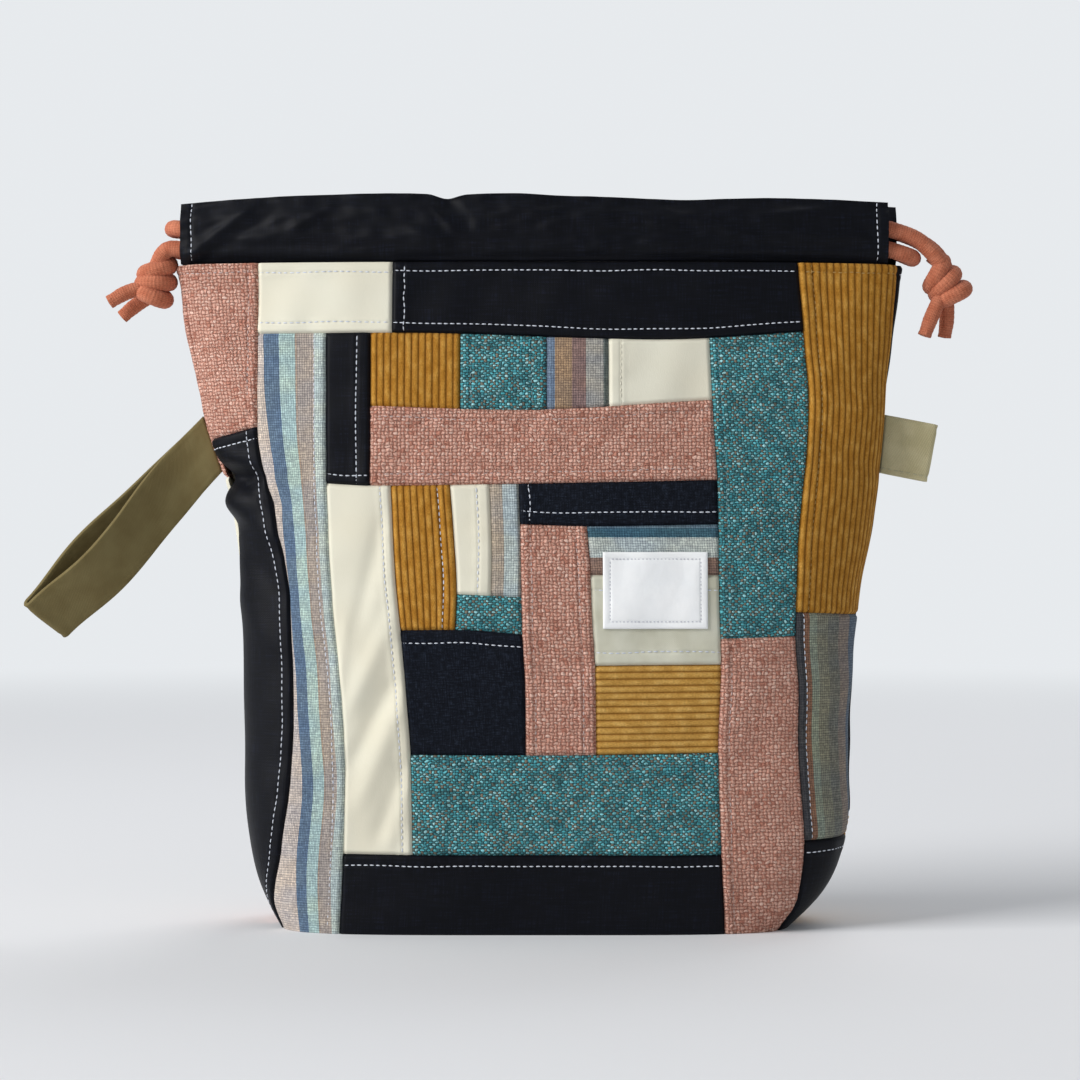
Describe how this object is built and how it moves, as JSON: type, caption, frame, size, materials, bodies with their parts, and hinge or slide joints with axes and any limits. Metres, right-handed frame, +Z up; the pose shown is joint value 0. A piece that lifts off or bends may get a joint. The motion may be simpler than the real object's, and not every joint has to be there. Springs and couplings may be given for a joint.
{
  "type": "patchwork drawstring project bag",
  "caption": "Upright lined drawstring pouch with a patchwork body, boxed flat base, black drawcord casings, two knotted cords, a wrist strap and a side tab.",
  "frame": {"origin": "middle of the base panel, on the surface the bag stands on", "axes": "+Z up, front with the label faces -Y, +X towards the side tab"},
  "size_m": [0.3722, 0.085, 0.2848],
  "materials": {
    "black_cotton": "plain black cotton canvas",
    "pink_tweed": "coarse dusty-pink basket-weave tweed",
    "cream_cotton": "smooth cream cotton",
    "mustard_corduroy": "mustard corduroy",
    "teal_tweed": "teal and brown tweed",
    "stripe_cotton": "woven blue, sea-green and mauve stripes",
    "khaki_canvas": "khaki canvas",
    "lining_cotton": "plain natural cotton",
    "olive_twill": "olive twill tape",
    "terracotta_cord": "knitted cotton cord",
    "white_tape": "white woven tape, blank"
  },
  "bodies": {
    "root": {"back_black_bottom_band": "black_cotton", "back_black_right_panel": "black_cotton", "back_black_top_band": "black_cotton", "back_casing": "black_cotton", "back_cream_left_panel": "cream_cotton", "back_cream_panel": "cream_cotton", "back_mustard_right_corner": "mustard_corduroy", "back_pink_band": "pink_tweed", "back_pink_left_corner": "pink_tweed", "back_pink_left_panel": "pink_tweed", "back_stripe_panel": "stripe_cotton", "back_teal_band": "teal_tweed", "base_panel": "black_cotton", "drawcord_left_knotted": "terracotta_cord", "drawcord_right_knotted": "terracotta_cord", "front_black_bottom_band": "black_cotton", "front_black_centre_band": "black_cotton", "front_black_centre_block": "black_cotton", "front_black_left_panel": "black_cotton", "front_black_right_corner": "black_cotton", "front_black_top_band": "black_cotton", "front_black_upper_strip": "black_cotton", "front_casing": "black_cotton", "front_cream_centre_strip": "cream_cotton", "front_cream_left_strip": "cream_cotton", "front_cream_top_block": "cream_cotton", "front_cream_upper_block": "cream_cotton", "front_khaki_label_block": "khaki_canvas", "front_mustard_centre_strip": "mustard_corduroy", "front_mustard_lower_block": "mustard_corduroy", "front_mustard_right_panel": "mustard_corduroy", "front_mustard_upper_block": "mustard_corduroy", "front_pink_centre_strip": "pink_tweed", "front_pink_corner": "pink_tweed", "front_pink_cross_band": "pink_tweed", "front_pink_right_strip": "pink_tweed", "front_stripe_centre_strip": "stripe_cotton", "front_stripe_label_band": "stripe_cotton", "front_stripe_left_strip": "stripe_cotton", "front_stripe_right_panel": "stripe_cotton", "front_stripe_upper_block": "stripe_cotton", "front_teal_lower_band": "teal_tweed", "front_teal_right_strip": "teal_tweed", "front_teal_small_block": "teal_tweed", "front_teal_upper_block": "teal_tweed", "label": "white_tape", "left_knot": "terracotta_cord", "lining_bag": "lining_cotton", "right_knot": "terracotta_cord", "side_tab": "olive_twill", "wrist_strap": "olive_twill"}
  },
  "joints": []
}
